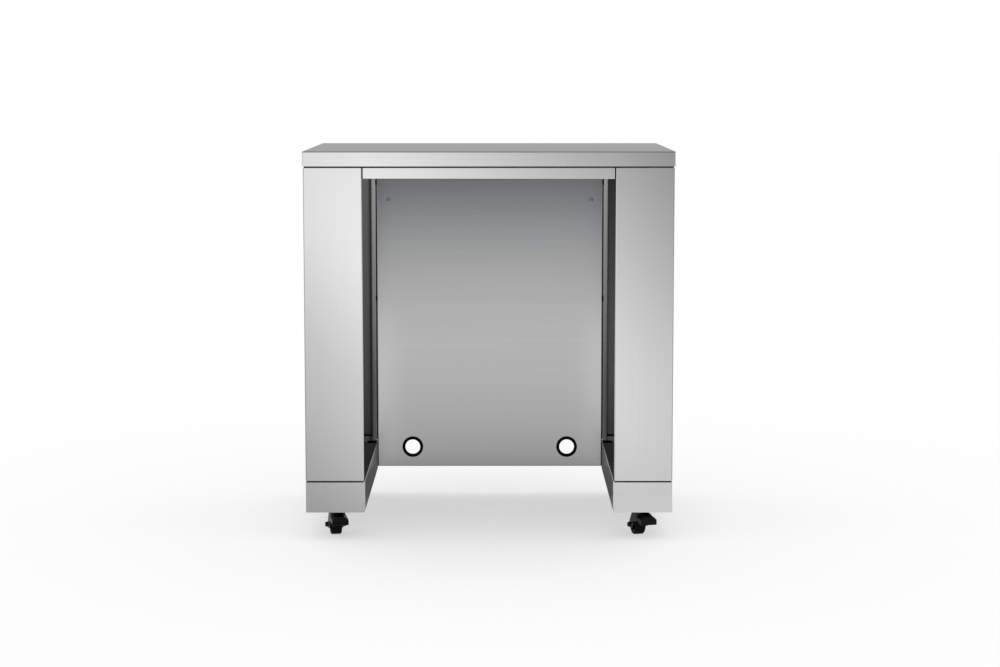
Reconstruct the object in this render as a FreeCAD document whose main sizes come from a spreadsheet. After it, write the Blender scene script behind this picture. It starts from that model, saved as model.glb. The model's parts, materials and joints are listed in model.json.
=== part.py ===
import FreeCAD, Part
import os
import re
import Sketcher

# Outdoor refrigerator cabinet: two sheet metal pillars on caster bases carry a countertop over an open bay.
# +X is to the right, the open front faces -Y, +Z is up, and the origin is on the floor under the middle.

# Driving sizes in millimetres and degrees
SIZES = {
    # Layout
    "opening_width": 610,        # clear width between the pillars
    "pillar_width": 140.5,
    "body_depth": 656,           # face of the front panels to face of the rear panels
    "panel_height": 761,
    "base_height": 72,
    "base_step": 2,              # how far each base stands into the opening
    "spacer_height": 5,         # front and side panels above the base
    "rear_spacer_height": 4,     # rear panels above the base
    "reveal": 3,                 # open joint between neighbouring faces
    "seam": 0.5,                 # closed joint between neighbouring sheets
    # Countertop
    "counter_edge": 36,
    "counter_sheet": 1.5,
    "counter_bend": 3,
    "counter_lip": 8,
    "side_overhang": 2,
    "front_overhang": 2,
    "support_inset": 40.25,      # sides of a support's crown from the sides of its pillar
    "support_foot": 18,
    "support_sheet": 1.5,
    "stiffener_crown": 50,
    "stiffener_foot": 15,
    "stiffener_depth": 22,
    "stiffener_gap": 10,         # from the ends of the stiffener to the pillars
    # Panels
    "panel_sheet": 1.2,
    "panel_depth": 20,
    "panel_lip": 10,
    "panel_bend": 2,
    "side_flange": 22,
    "fixing_inset": 70,          # outer fixings from the ends of a panel
    "bolt_inset": 32,            # pillar bolts from the sides of a panel
    # Bases
    "base_sheet": 1.5,
    "skirt_sheet": 1.2,
    "base_plate_thickness": 4,
    # Header rail
    "header_height": 27,
    "header_depth": 30,
    "bracket_sheet": 2,
    "bracket_length": 36,
    "bracket_depth": 20,
    # Back panel
    "back_gap": 2.6,             # open joint between the back panel and each pillar
    "back_spacer_radius": 8,
    "back_lift": 6,              # bottom of the back panel above the bottom of the bases
    "grommet_inset": 94.4,       # from the sides of the back panel
    "grommet_height": 53,        # above the bottom of the back panel
    "grommet_hole": 48,
    "grommet_wall": 4,           # between the bore and the hole
    "grommet_lap": 4,            # of the flanges over the sheet round the hole
    "grommet_rim": 3,
    "tie_screw_inset": 31.4,     # from the sides of the back panel
    "tie_screw_drop": 113,       # below the top of the back panel
    "tie_crown": 40,
    "tie_foot": 16,
    "tie_depth": 15,
    # Fasteners
    "bolt_radius": 3,
    "bolt_head_lap": 2.5,
    "bolt_head_height": 4,
    "spacer_lap": 2,             # of a pillar spacer past its bolt head
    "nut_height": 5,
    "screw_radius": 2,
    "screw_head_lap": 1.5,
    "screw_head_height": 2.5,
    "screw_grip": 5,             # length of a screw past the sheets that it joins
    "dome_lap": 4.5,
    "dome_height": 2.5,
    "hole_clearance": 0.2,
    # Casters
    "caster_inset": 64,          # kingpins from the front and rear faces
    "front_left_yaw": 12,
    "front_right_yaw": 16,
    "rear_left_yaw": 24,
    "rear_right_yaw": 8,
    "wheel_diameter": 50,
    "wheel_width": 26,
    "tyre_thickness": 6,
    "tyre_shoulder": 4,
    "tyre_clearance": 4,
    "rim_thickness": 3.5,
    "rim_inset": 1,              # of the rim inside the sides of its tyre
    "web_thickness": 6,
    "hub_wall": 4,
    "trail": 24,
    "fork_gap": 31,
    "fork_sheet": 3,
    "fork_tail": 16,
    "ear_wall": 4.5,             # of a cheek round its pedal pin
    "boss_wall": 5,              # of a cheek round its axle
    "axle_radius": 4,
    "axle_head_lap": 2.5,
    "axle_head_height": 8,
    "running_clearance": 0.05,
    "end_play": 0.4,
    "plate_width": 62,
    "plate_thickness": 2.5,
    "plate_bolt_spacing": 46,
    "race_radius": 15,
    "race_wall": 6,
    "race_drop": 6.5,
    "race_gap": 0.5,
    "ring_wall": 4,
    "ring_drop": 4,
    "ball_radius": 2.5,
    "kingpin_radius": 5,
    "kingpin_head_lap": 3,
    "kingpin_head_height": 3,
    # Brake pedals
    "pivot_lead": 15,
    "pivot_drop": 6,
    "pin_radius": 2.5,
    "pin_head_lap": 1.5,
    "pin_head_height": 1.5,
    "pedal_travel": 12,
    "pedal_hub_wall": 2,
    "pedal_play": 1,
    "pedal_width": 41,
    "pedal_crest": 21,
    "pedal_gap": 3,              # between the fork and the root of the paddle
    "pedal_length": 33,
    "pedal_clearance": 2.5,
    "pedal_slope": 4,
    "pedal_drop": 6,             # sole of the paddle below the pivot at its root
    "pedal_shoulder": 8,
    "pedal_side": 13,            # height of the paddle's sides at its tip
    "pedal_round": 2,
    "shoe_radius": 3,
    "shoe_width": 18,
    "shoe_lead": 14,
    "shoe_clearance": 0.4,
}

# How far a cutting block or cylinder runs past the sheet that it cuts
PAST = "3"
# Largest bend radius, in sheet thicknesses, that leaves metal at a folded corner
BEND_LIMIT = 2.1
BALLS_PER_RACE = 12
SIDES = {"left": -1, "right": 1}
ENDS = {"front": -1, "rear": 1}

# Places across the cabinet, for the right side
INNER = "(opening_width / 2)"
OUTER = f"({INNER} + pillar_width)"
BASE_INNER = f"({INNER} - base_step)"
PILLAR_MIDDLE = f"({INNER} + pillar_width / 2)"
BASE_MIDDLE = f"(({BASE_INNER} + {OUTER}) / 2)"
BACK_EDGE = f"({INNER} - back_gap)"
# Places from front to rear
FRONT = "(-body_depth / 2)"
REAR = "(body_depth / 2)"
BACK_FACE = f"({REAR} - panel_depth)"
# Heights of the caster parts
AXLE_Z = "(wheel_diameter / 2)"
CROWN_BOTTOM = "(wheel_diameter + tyre_clearance)"
CROWN_TOP = f"({CROWN_BOTTOM} + fork_sheet)"
BALL_Z = f"({CROWN_TOP} + ring_drop)"
PLATE_BOTTOM = f"({BALL_Z} + race_drop)"
CASTER_TOP = f"({PLATE_BOTTOM} + plate_thickness)"
PIVOT_Z = f"({CROWN_BOTTOM} - pivot_drop)"
# Heights of the cabinet
BASE_TOP = f"({CASTER_TOP} + base_height)"
PANEL_BOTTOM = f"({BASE_TOP} + spacer_height)"
SKIRT_TOP = f"({PANEL_BOTTOM} - reveal)"
REAR_BOTTOM = f"({BASE_TOP} + rear_spacer_height)"
PANEL_TOP = f"({PANEL_BOTTOM} + panel_height)"
BACK_BOTTOM = f"({CASTER_TOP} + back_lift)"
COUNTER_BOTTOM = f"({PANEL_TOP} + reveal)"
COUNTER_TOP = f"({COUNTER_BOTTOM} + counter_edge)"
COUNTER_UNDERSIDE = f"({COUNTER_TOP} - counter_sheet)"
# Radii of fastener heads and of the holes that fasteners pass through
BOLT_HEAD = "(bolt_radius + bolt_head_lap)"
BOLT_HOLE = "(bolt_radius + hole_clearance)"
SCREW_HEAD = "(screw_radius + screw_head_lap)"
SCREW_HOLE = "(screw_radius + hole_clearance)"
DOME = "(screw_radius + dome_lap)"
# Caster sizes that follow from their pins
BOSS = "(axle_radius + boss_wall)"
EAR = "(pin_radius + ear_wall)"
PEDAL_HUB = "(pin_radius + pedal_hub_wall)"
PEDAL_ROOT = f"(pivot_lead + {EAR} + pedal_gap)"
PEDAL_TIP = f"({PEDAL_ROOT} + pedal_length)"

doc = FreeCAD.newDocument("refrigerator_cabinet")
sheet = doc.addObject("Spreadsheet::Sheet", "Sizes")
for row, (alias, number) in enumerate(SIZES.items(), 1):
    sheet.set(f"A{row}", alias)
    sheet.set(f"B{row}", str(number))
    sheet.setAlias(f"B{row}", alias)
doc.recompute()
sub_parts = []


def bind(thing, target, formula):
    """Bind a property to a formula of the sheet's sizes."""
    named = re.sub(r"[a-z_]+", lambda word: f"Sizes.{word[0]}" if word[0] in SIZES else word[0], formula)
    thing.setExpression(target, named)


def value(formula):
    """Work out a formula of the sheet's sizes."""
    return float(sheet.evalExpression(formula))


def finish(thing, label):
    """Name a finished sub-part and list it for writing."""
    thing.Label = label
    sub_parts.append(thing)
    return thing


def on_side(side, formula):
    return f"({SIDES[side]} * {formula})"


def side_span(side, near, far):
    """Low and high places across the cabinet for a piece between near and far from its middle."""
    low, high = (near, far) if SIDES[side] > 0 else (far, near)
    return on_side(side, low), on_side(side, high)


# Part primitives and booleans

def block(name, x, y, z):
    """A box between the low and high formulas on each axis."""
    solid = doc.addObject("Part::Box", name)
    for edge, axis, (low, high) in zip(("Length", "Width", "Height"), "xyz", (x, y, z)):
        bind(solid, edge, f"({high}) - ({low})")
        bind(solid, f"Placement.Base.{axis}", low)
    return solid


def place(solid, at, direction=(0, 0, 1)):
    """Put a solid's own origin at three formulas, with its Z axis along a direction."""
    solid.Placement.Rotation = FreeCAD.Rotation(FreeCAD.Vector(0, 0, 1), FreeCAD.Vector(*direction))
    for axis, formula in zip("xyz", at):
        bind(solid, f"Placement.Base.{axis}", formula)
    return solid


def rod(name, at, direction, radius, length):
    """A cylinder from a point along a direction."""
    solid = doc.addObject("Part::Cylinder", name)
    bind(solid, "Radius", radius)
    bind(solid, "Height", length)
    return place(solid, at, direction)


def hexagon(name, at, direction, radius, length):
    """A six-sided bar from a point along a direction."""
    solid = doc.addObject("Part::Prism", name)
    solid.Polygon = 6
    bind(solid, "Circumradius", radius)
    bind(solid, "Height", length)
    return place(solid, at, direction)


def hole(name, centre, direction, radius, reach=PAST):
    """A cutting cylinder that reaches to both sides of a point."""
    start = [f"({c}) - ({d} * ({reach}))" for c, d in zip(centre, direction)]
    return rod(name, start, direction, radius, f"2 * ({reach})")


def together(name, pieces):
    compound = doc.addObject("Part::Compound", name)
    compound.Links = pieces
    return compound


def fuse(name, pieces):
    result = doc.addObject("Part::MultiFuse", name)
    result.Shapes = pieces
    return result


def cut(name, base, tools):
    result = doc.addObject("Part::Cut", name)
    result.Base = base
    result.Tool = together(f"{name}_tools", tools)
    return result


def rounded(name, base, radius, chosen):
    """Round the edges of a solid that a test chooses."""
    base.recompute()
    fillet = doc.addObject("Part::Fillet", name)
    fillet.Base = base
    fillet.Edges = [(i, radius, radius) for i, edge in enumerate(base.Shape.Edges, 1) if chosen(edge)]
    return fillet


def bend_radius(bend, sheet_size):
    return min(value(bend), BEND_LIMIT * value(sheet_size))


def tray(name, spans, opening, sheet_size, bend, lip=None):
    """A folded sheet with four walls, open to one side such as +y, with lips turned in there if given."""
    sign, axis = opening[0], "xyz".index(opening[1])
    open_plane = value(spans[axis][1] if sign == "+" else spans[axis][0])

    def folded(edge):
        return abs(edge.CenterOfMass[axis] - open_plane) > 0.01

    outer = rounded(f"{name}_bends", block(f"{name}_blank", *spans), bend_radius(bend, sheet_size), folded)
    inside = [(f"{low} + {sheet_size}", f"{high} - {sheet_size}") for low, high in spans]
    low, high = inside[axis]
    if lip is None:
        inside[axis] = (low, f"{high} + {sheet_size} + {PAST}")
        if sign == "-":
            inside[axis] = (f"{low} - {sheet_size} - {PAST}", high)
        return cut(f"{name}_tray", outer, [block(f"{name}_inside", *inside)])
    window = [(f"{a} + {lip}", f"{b} - {lip}") for a, b in inside]
    window[axis] = (f"{high} - {PAST}", f"{high} + {sheet_size} + {PAST}")
    if sign == "-":
        window[axis] = (f"{low} - {sheet_size} - {PAST}", f"{low} + {PAST}")
    hollow = fuse(f"{name}_hollow", [block(f"{name}_inside", *inside), block(f"{name}_window", *window)])
    return cut(f"{name}_tray", outer, [hollow])


def hat_channel(name, axes, length, centre, foot_plane, crown_plane, rising, crown, foot, sheet_size):
    """A hat section along axes[0], wide along axes[1], with its feet and crown on planes across axes[2]."""
    def placed(*spans):
        named = dict(zip(axes, spans))
        return [named[axis] for axis in "xyz"]

    low_edge, high_edge = f"{centre} - {crown} / 2", f"{centre} + {crown} / 2"
    height = (foot_plane, crown_plane) if rising else (crown_plane, foot_plane)
    foot_height = (foot_plane, f"{foot_plane} + {sheet_size}")
    inside_height = (f"{foot_plane} - {PAST}", f"{crown_plane} - {sheet_size}")
    if not rising:
        foot_height = (f"{foot_plane} - {sheet_size}", foot_plane)
        inside_height = (f"{crown_plane} + {sheet_size}", f"{foot_plane} + {PAST}")
    outer = block(f"{name}_outer", *placed(length, (low_edge, high_edge), height))
    inside_width = (f"{low_edge} + {sheet_size}", f"{high_edge} - {sheet_size}")
    inside_length = (f"{length[0]} - {PAST}", f"{length[1]} + {PAST}")
    inside = block(f"{name}_inside", *placed(inside_length, inside_width, inside_height))
    channel = cut(f"{name}_channel", outer, [inside])
    low_foot = block(f"{name}_low_foot", *placed(length, (f"{low_edge} - {foot}", low_edge), foot_height))
    high_foot = block(f"{name}_high_foot", *placed(length, (high_edge, f"{high_edge} + {foot}"), foot_height))
    return fuse(f"{name}_hat", [channel, low_foot, high_foot])


# Fasteners

def along(point, direction, distance):
    """A point moved along a direction by a formula."""
    return [f"({p}) + ({d} * ({distance}))" for p, d in zip(point, direction)]


def reverse(direction):
    return tuple(-d for d in direction)


def screw(name, seat, out, grip):
    """A round-headed screw whose head stands out of its seat and whose shank goes grip deep."""
    head = rod(f"{name}_head", seat, out, SCREW_HEAD, "screw_head_height")
    shank = rod(f"{name}_shank", seat, reverse(out), "screw_radius", grip)
    return fuse(name, [head, shank])


def bolt_and_nut(name, seat, out, grip):
    """A hexagon bolt through a stack that is grip thick, and its nut on the far side."""
    head = hexagon(f"{name}_head", seat, out, BOLT_HEAD, "bolt_head_height")
    shank = rod(f"{name}_shank", seat, reverse(out), "bolt_radius", f"{grip} + nut_height + bolt_radius / 2")
    nut_seat = along(seat, reverse(out), grip)
    nut_blank = hexagon(f"{name}_nut_blank", nut_seat, reverse(out), BOLT_HEAD, "nut_height")
    nut_middle = along(nut_seat, reverse(out), "nut_height / 2")
    nut_bore = hole(f"{name}_nut_bore", nut_middle, out, "bolt_radius", "nut_height")
    return [fuse(f"{name}_bolt", [head, shank]), cut(f"{name}_nut", nut_blank, [nut_bore])]


def tube(name, at, direction, radius, bore, length):
    """A short tube from a point along a direction."""
    wall = rod(f"{name}_wall", at, direction, radius, length)
    middle = along(at, direction, f"{length} / 2")
    return cut(name, wall, [hole(f"{name}_bore", middle, direction, bore, length)])


# PartDesign bodies

def new_sketch(body, plane, lift=None):
    """A sketch on one of a body's own planes, lifted along its normal."""
    sketch = body.newObject("Sketcher::SketchObject", f"{body.Name}_sketch")
    support = next(f for f in body.Origin.OriginFeatures if f.Role == plane)
    sketch.AttachmentSupport = [(support, "")]
    sketch.MapMode = "FlatFace"
    if lift is not None:
        bind(sketch, "AttachmentOffset.Base.z", lift)
    return sketch


def hold_point(sketch, geometry, position, point):
    """Hold a point of a sketch at two formulas from its origin."""
    for axis, formula in zip("XY", point):
        rule = Sketcher.Constraint(f"Distance{axis}", -1, 1, geometry, position, value(formula))
        bind(sketch, f"Constraints[{sketch.addConstraint(rule)}]", formula)


def polygon(sketch, points):
    """A closed outline through points given as pairs of formulas."""
    corners = [FreeCAD.Vector(value(x), value(y), 0) for x, y in points]
    for start, end in zip(corners, corners[1:] + corners[:1]):
        sketch.addGeometry(Part.LineSegment(start, end), False)
    for i, point in enumerate(points):
        sketch.addConstraint(Sketcher.Constraint("Coincident", i, 2, (i + 1) % len(points), 1))
        hold_point(sketch, i, 1, point)
    return sketch


def circle(sketch, centre, radius):
    """A circle with its centre at two formulas."""
    middle = FreeCAD.Vector(value(centre[0]), value(centre[1]), 0)
    index = sketch.addGeometry(Part.Circle(middle, FreeCAD.Vector(0, 0, 1), value(radius)), False)
    hold_point(sketch, index, 3, centre)
    rule = Sketcher.Constraint("Radius", index, value(radius))
    bind(sketch, f"Constraints[{sketch.addConstraint(rule)}]", radius)
    return sketch


def extrude(body, kind, sketch, length, midplane=False):
    """Pad or pocket a sketch."""
    feature = body.newObject(f"PartDesign::{kind}", f"{body.Name}_{kind.lower()}")
    feature.Profile = sketch
    feature.Midplane = midplane
    bind(feature, "Length", length)
    return feature


def revolve(body, sketch, axis):
    """Turn a sketch once round its own H_Axis or V_Axis."""
    feature = body.newObject("PartDesign::Revolution", f"{body.Name}_turned")
    feature.Profile = sketch
    feature.ReferenceAxis = (sketch, [axis])
    feature.Angle = 360
    return feature


def soften(body, base, radius, chosen):
    """Fillet the edges of a body's feature that a test chooses."""
    doc.recompute()
    names = [f"Edge{i}" for i, edge in enumerate(base.Shape.Edges, 1) if chosen(edge)]
    feature = body.newObject("PartDesign::Fillet", f"{body.Name}_fillet")
    feature.Base = (base, names)
    bind(feature, "Radius", radius)
    return feature


def is_round(edge):
    return isinstance(edge.Curve, Part.Circle)


def turn_about_z(body, at, yaw):
    """Put a body's own origin at three formulas, turned about the vertical."""
    for axis, formula in zip("xyz", at):
        bind(body, f"Placement.Base.{axis}", formula)
    bind(body, "Placement.Rotation.Angle", yaw)


# Heights of the fixings along a panel: near its bottom, at its middle and near its top

def fixing_heights(bottom):
    low, high = f"({bottom} + fixing_inset)", f"({PANEL_TOP} - fixing_inset)"
    return {"low": low, "middle": f"(({low} + {high}) / 2)", "high": high}


# Centres of the screws and bolts that several sheets share

SUPPORT_CROWN = "(pillar_width - 2 * support_inset)"
SUPPORT_END = f"({REAR} + front_overhang - counter_sheet - counter_lip - seam)"
SUPPORT_SCREW_Y = f"(({BACK_FACE} + panel_sheet + {SUPPORT_END}) / 2)"
SUPPORT_SCREW_OFFSETS = {"inner": f"(-({SUPPORT_CROWN} + support_foot) / 2)",
                         "outer": f"(({SUPPORT_CROWN} + support_foot) / 2)"}
LIP_SCREW_X = f"({OUTER} - panel_sheet - panel_lip / 2)"
PANEL_BOLT_X = {"inner": f"({INNER} + bolt_inset)", "outer": f"({OUTER} - bolt_inset)"}
END_BOLT_Y = f"({REAR} - panel_depth / 2)"
SIDE_BOLT_X = f"({OUTER} - side_flange / 2)"
SIDE_BOLT_Y = "(body_depth / 4)"
BRACKET_MIDDLE_Y = f"({FRONT} + panel_depth / 2)"
BRACKET_SCREW_Z = f"({PANEL_TOP} - header_height / 2)"
BRACKET_SCREW_X = f"({INNER} - reveal - bracket_length / 2)"
TIE_SCREW_X = f"({BACK_EDGE} - tie_screw_inset)"
TIE_SCREW_Z = f"({PANEL_TOP} - tie_screw_drop)"
GROMMET_X = f"({BACK_EDGE} - grommet_inset)"
GROMMET_Z = f"({BACK_BOTTOM} + grommet_height)"
BACK_FIXINGS = fixing_heights(REAR_BOTTOM)
SIDE_FIXINGS = fixing_heights(PANEL_BOTTOM)


def countertop():
    half_x, half_y = f"({OUTER} + side_overhang)", f"({REAR} + front_overhang)"
    spans = [(f"-{half_x}", half_x), (f"-{half_y}", half_y), (COUNTER_BOTTOM, COUNTER_TOP)]
    finish(tray("countertop", spans, "-z", "counter_sheet", "counter_bend", "counter_lip"), "countertop")


def counter_stiffener():
    end = f"({INNER} - stiffener_gap)"
    crown_plane = f"({COUNTER_UNDERSIDE} - stiffener_depth)"
    hat = hat_channel("counter_stiffener", "xyz", (f"-{end}", end), "0", COUNTER_UNDERSIDE, crown_plane,
                      False, "stiffener_crown", "stiffener_foot", "support_sheet")
    finish(hat, "counter_stiffener")


def counter_support(side):
    name = f"{side}_counter_support"
    middle = on_side(side, PILLAR_MIDDLE)
    length = (f"-{SUPPORT_END}", SUPPORT_END)
    hat = hat_channel(name, "yxz", length, middle, PANEL_TOP, COUNTER_UNDERSIDE, True,
                      SUPPORT_CROWN, "support_foot", "support_sheet")
    holes = []
    for end_name, sign in ENDS.items():
        for foot, offset in SUPPORT_SCREW_OFFSETS.items():
            centre = (f"{middle} + {offset}", f"({sign} * {SUPPORT_SCREW_Y})", PANEL_TOP)
            holes.append(hole(f"{name}_{end_name}_{foot}", centre, (0, 0, 1), SCREW_HOLE))
    finish(cut(name, hat, holes), name)


def counter_screws():
    screws = []
    for side in SIDES:
        for end_name, sign in ENDS.items():
            for foot, offset in SUPPORT_SCREW_OFFSETS.items():
                seat = (f"{on_side(side, PILLAR_MIDDLE)} + {offset}", f"({sign} * {SUPPORT_SCREW_Y})",
                        f"{PANEL_TOP} - panel_sheet")
                grip = "panel_sheet + support_sheet + screw_grip"
                screws.append(screw(f"counter_screw_{side}_{end_name}_{foot}", seat, (0, 0, -1), grip))
    finish(together("counter_screws", screws), "counter_screws")


def end_panel(side, end):
    """A front or rear panel: a tray with its lips inside the pillar."""
    name, sign = f"{side}_{end}_panel", ENDS[end]
    bottom = PANEL_BOTTOM if end == "front" else REAR_BOTTOM
    depth = (FRONT, f"{FRONT} + panel_depth") if end == "front" else (f"{REAR} - panel_depth", REAR)
    opening = "+y" if end == "front" else "-y"
    folded = tray(name, [side_span(side, INNER, OUTER), depth, (bottom, PANEL_TOP)], opening,
                  "panel_sheet", "panel_bend", "panel_lip")
    lip_y = f"({sign} * {BACK_FACE})"
    bolt_y, screw_y = f"({sign} * {END_BOLT_Y})", f"({sign} * {SUPPORT_SCREW_Y})"
    holes = []
    for spot, x in PANEL_BOLT_X.items():
        holes.append(hole(f"{name}_bolt_{spot}", (on_side(side, x), bolt_y, bottom), (0, 0, 1), BOLT_HOLE))
    for foot, offset in SUPPORT_SCREW_OFFSETS.items():
        centre = (f"{on_side(side, PILLAR_MIDDLE)} + {offset}", screw_y, PANEL_TOP)
        holes.append(hole(f"{name}_counter_{foot}", centre, (0, 0, 1), SCREW_HOLE))
    for spot, z in SIDE_FIXINGS.items():
        centre = (on_side(side, LIP_SCREW_X), lip_y, z)
        holes.append(hole(f"{name}_lip_{spot}", centre, (0, 1, 0), SCREW_HOLE))
    if end == "front":
        centre = (on_side(side, INNER), BRACKET_MIDDLE_Y, BRACKET_SCREW_Z)
        holes.append(hole(f"{name}_bracket", centre, (1, 0, 0), SCREW_HOLE))
    else:
        for spot, z in BACK_FIXINGS.items():
            centre = (on_side(side, INNER), END_BOLT_Y, z)
            holes.append(hole(f"{name}_back_{spot}", centre, (1, 0, 0), BOLT_HOLE))
    finish(cut(name, folded, holes), name)


def side_panel(side):
    name = f"{side}_side_panel"
    depth = (f"{FRONT} + panel_depth + seam", f"{REAR} - panel_depth - seam")
    spans = [side_span(side, f"({OUTER} - side_flange)", OUTER), depth, (PANEL_BOTTOM, PANEL_TOP)]
    folded = tray(name, spans, "-x" if side == "right" else "+x", "panel_sheet", "panel_bend")
    holes = []
    for end_name, sign in ENDS.items():
        centre = (on_side(side, SIDE_BOLT_X), f"({sign} * {SIDE_BOLT_Y})", PANEL_BOTTOM)
        holes.append(hole(f"{name}_bolt_{end_name}", centre, (0, 0, 1), BOLT_HOLE))
        for spot, z in SIDE_FIXINGS.items():
            centre = (on_side(side, LIP_SCREW_X), f"({sign} * ({BACK_FACE} - seam))", z)
            holes.append(hole(f"{name}_lip_{end_name}_{spot}", centre, (0, 1, 0), SCREW_HOLE))
    finish(cut(name, folded, holes), name)


def panel_screws():
    screws = []
    for side in SIDES:
        for end_name, sign in ENDS.items():
            for spot, z in SIDE_FIXINGS.items():
                seat = (on_side(side, LIP_SCREW_X), f"({sign} * ({BACK_FACE} - seam - panel_sheet))", z)
                grip = "2 * panel_sheet + seam + screw_grip"
                screws.append(screw(f"panel_screw_{side}_{end_name}_{spot}", seat, (0, -sign, 0), grip))
    finish(together("panel_screws", screws), "panel_screws")


def pillar_bolt_places(side):
    """Name, x, y and foot height of each bolt that holds a pillar to its base."""
    places = []
    for end, sign in ENDS.items():
        bottom = PANEL_BOTTOM if end == "front" else REAR_BOTTOM
        for spot, x in PANEL_BOLT_X.items():
            places.append((f"{side}_{end}_{spot}", on_side(side, x), f"({sign} * {END_BOLT_Y})", bottom))
        side_y = f"({sign} * {SIDE_BOLT_Y})"
        places.append((f"{side}_side_{end}", on_side(side, SIDE_BOLT_X), side_y, PANEL_BOTTOM))
    return places


def pillar_bolts_and_spacers():
    bolts, spacers = [], []
    for side in SIDES:
        for name, x, y, bottom in pillar_bolt_places(side):
            grip = f"panel_sheet + ({bottom} - {BASE_TOP}) + base_sheet"
            bolts += bolt_and_nut(f"pillar_{name}", (x, y, f"{bottom} + panel_sheet"), (0, 0, 1), grip)
            radius, height = f"{BOLT_HEAD} + spacer_lap", f"({bottom} - {BASE_TOP})"
            seat = (x, y, BASE_TOP)
            spacers.append(tube(f"pillar_spacer_{name}", seat, (0, 0, 1), radius, BOLT_HOLE, height))
    finish(together("pillar_bolts", bolts), "pillar_bolts")
    finish(together("pillar_spacers", spacers), "pillar_spacers")


def base_frame(side):
    name = f"{side}_base_frame"
    spans = [side_span(side, BASE_INNER, f"({OUTER} - skirt_sheet)"),
             (f"{FRONT} + skirt_sheet", f"{REAR} - skirt_sheet"), (CASTER_TOP, BASE_TOP)]
    folded = tray(name, spans, "-z", "base_sheet", "panel_bend")
    holes = [hole(f"{name}_{place_name}", (x, y, BASE_TOP), (0, 0, 1), BOLT_HOLE)
             for place_name, x, y, _ in pillar_bolt_places(side)]
    finish(cut(name, folded, holes), name)


def plinth_skirt(side):
    """A strip round the front, outer side and rear of a base, open towards the bay."""
    name = f"{side}_plinth_skirt"
    outer_x = value(on_side(side, OUTER))
    blank = block(f"{name}_blank", side_span(side, BASE_INNER, OUTER), (FRONT, REAR), (CASTER_TOP, SKIRT_TOP))

    def outer_corner(edge):
        upright = abs(edge.tangentAt(edge.FirstParameter).z) > 0.9
        return upright and abs(edge.CenterOfMass.x - outer_x) < 0.01

    bent = rounded(f"{name}_bends", blank, bend_radius("panel_bend", "skirt_sheet"), outer_corner)
    inside = block(f"{name}_inside", side_span(side, f"({BASE_INNER} - {PAST})", f"({OUTER} - skirt_sheet)"),
                   (f"{FRONT} + skirt_sheet", f"{REAR} - skirt_sheet"),
                   (f"{CASTER_TOP} - {PAST}", f"{SKIRT_TOP} + {PAST}"))
    finish(cut(name, bent, [inside]), name)


def base_plate(side):
    name = f"{side}_base_plate"
    spans = [side_span(side, f"({BASE_INNER} + base_sheet)", f"({OUTER} - skirt_sheet - base_sheet)"),
             (f"{FRONT} + skirt_sheet + base_sheet", f"{REAR} - skirt_sheet - base_sheet"),
             (CASTER_TOP, f"{CASTER_TOP} + base_plate_thickness")]
    holes = [hole(f"{name}_{i}", (x, y, f"{CASTER_TOP} + base_plate_thickness / 2"), (0, 0, 1), BOLT_HOLE,
                  "base_plate_thickness")
             for end in ENDS for i, (x, y) in caster_bolt_places(end, side)]
    finish(cut(name, block(f"{name}_blank", *spans), holes), name)


def header_rail():
    half = f"({INNER} - reveal)"
    low = f"({PANEL_TOP} - header_height)"
    spans = [(f"-{half}", half), (FRONT, f"{FRONT} + header_depth"), (low, PANEL_TOP)]
    front_y = value(FRONT)

    def front_bend(edge):
        lengthwise = abs(edge.tangentAt(edge.FirstParameter).x) > 0.9
        return lengthwise and abs(edge.CenterOfMass.y - front_y) < 0.01

    bent = rounded("header_bends", block("header_blank", *spans), bend_radius("panel_bend", "panel_sheet"),
                   front_bend)
    inside = block("header_inside", (f"-{half} - {PAST}", f"{half} + {PAST}"),
                   (f"{FRONT} + panel_sheet", f"{FRONT} + header_depth + {PAST}"),
                   (f"{low} + panel_sheet", f"{PANEL_TOP} - panel_sheet"))
    holes = [hole(f"header_{side}", (on_side(side, BRACKET_SCREW_X), BRACKET_MIDDLE_Y, PANEL_TOP), (0, 0, 1),
                  SCREW_HOLE)
             for side in SIDES]
    finish(cut("header_rail", bent, [inside] + holes), "header_rail")


def header_bracket(side):
    """An angle that hangs the header rail on a pillar's inner face."""
    name = f"{side}_header_bracket"
    half = "bracket_depth / 2"
    depth = (f"{BRACKET_MIDDLE_Y} - {half} + panel_bend", f"{BRACKET_MIDDLE_Y} + {half}")
    top = f"({PANEL_TOP} - panel_sheet)"
    upright = block(f"{name}_upright", side_span(side, f"({INNER} - bracket_sheet)", INNER), depth,
                    (f"{PANEL_TOP} - header_height + panel_sheet + seam", top))
    shelf = block(f"{name}_shelf", side_span(side, f"({INNER} - reveal - bracket_length)", INNER), depth,
                  (f"{top} - bracket_sheet", top))
    side_centre = (on_side(side, INNER), BRACKET_MIDDLE_Y, BRACKET_SCREW_Z)
    top_centre = (on_side(side, BRACKET_SCREW_X), BRACKET_MIDDLE_Y, top)
    holes = [hole(f"{name}_side", side_centre, (1, 0, 0), SCREW_HOLE),
             hole(f"{name}_top", top_centre, (0, 0, 1), SCREW_HOLE)]
    finish(cut(name, fuse(f"{name}_angle", [upright, shelf]), holes), name)


def header_screws():
    screws = []
    for side, sign in SIDES.items():
        seat = (on_side(side, f"({INNER} - bracket_sheet)"), BRACKET_MIDDLE_Y, BRACKET_SCREW_Z)
        grip = "bracket_sheet + panel_sheet + screw_grip"
        screws.append(screw(f"header_screw_side_{side}", seat, (-sign, 0, 0), grip))
        shelf_bottom = f"{PANEL_TOP} - panel_sheet - bracket_sheet"
        seat = (on_side(side, BRACKET_SCREW_X), BRACKET_MIDDLE_Y, shelf_bottom)
        screws.append(screw(f"header_screw_top_{side}", seat, (0, 0, -1), "bracket_sheet + panel_sheet"))
    finish(together("header_screws", screws), "header_screws")


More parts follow.
